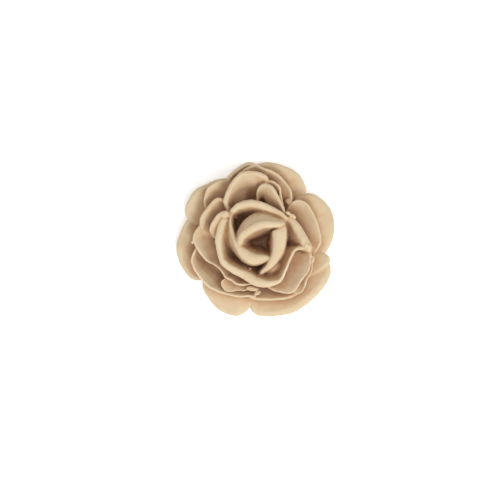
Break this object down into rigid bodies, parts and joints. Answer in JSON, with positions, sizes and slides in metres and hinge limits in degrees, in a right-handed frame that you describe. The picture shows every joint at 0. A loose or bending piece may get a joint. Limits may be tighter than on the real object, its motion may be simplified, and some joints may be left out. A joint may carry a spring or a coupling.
{
  "type": "rose applique",
  "caption": "Round carved-look rose applique in tan wood pulp, with layered curled petals round a hollow bud and a flat back to glue on.",
  "frame": {"origin": "middle of the flat back, under the middle of the rose's outline", "axes": "+Z out of the face, away from the furniture; +X to the right of the rose and +Y to its top as the face is seen"},
  "size_m": [0.0498, 0.0488, 0.0165],
  "materials": {
    "wood_pulp": "bare pressed wood pulp, matt, pale tan with worn cream petal edges and darker brown hollows"
  },
  "bodies": {
    "root": {"rose_applique": "wood_pulp"}
  },
  "joints": []
}
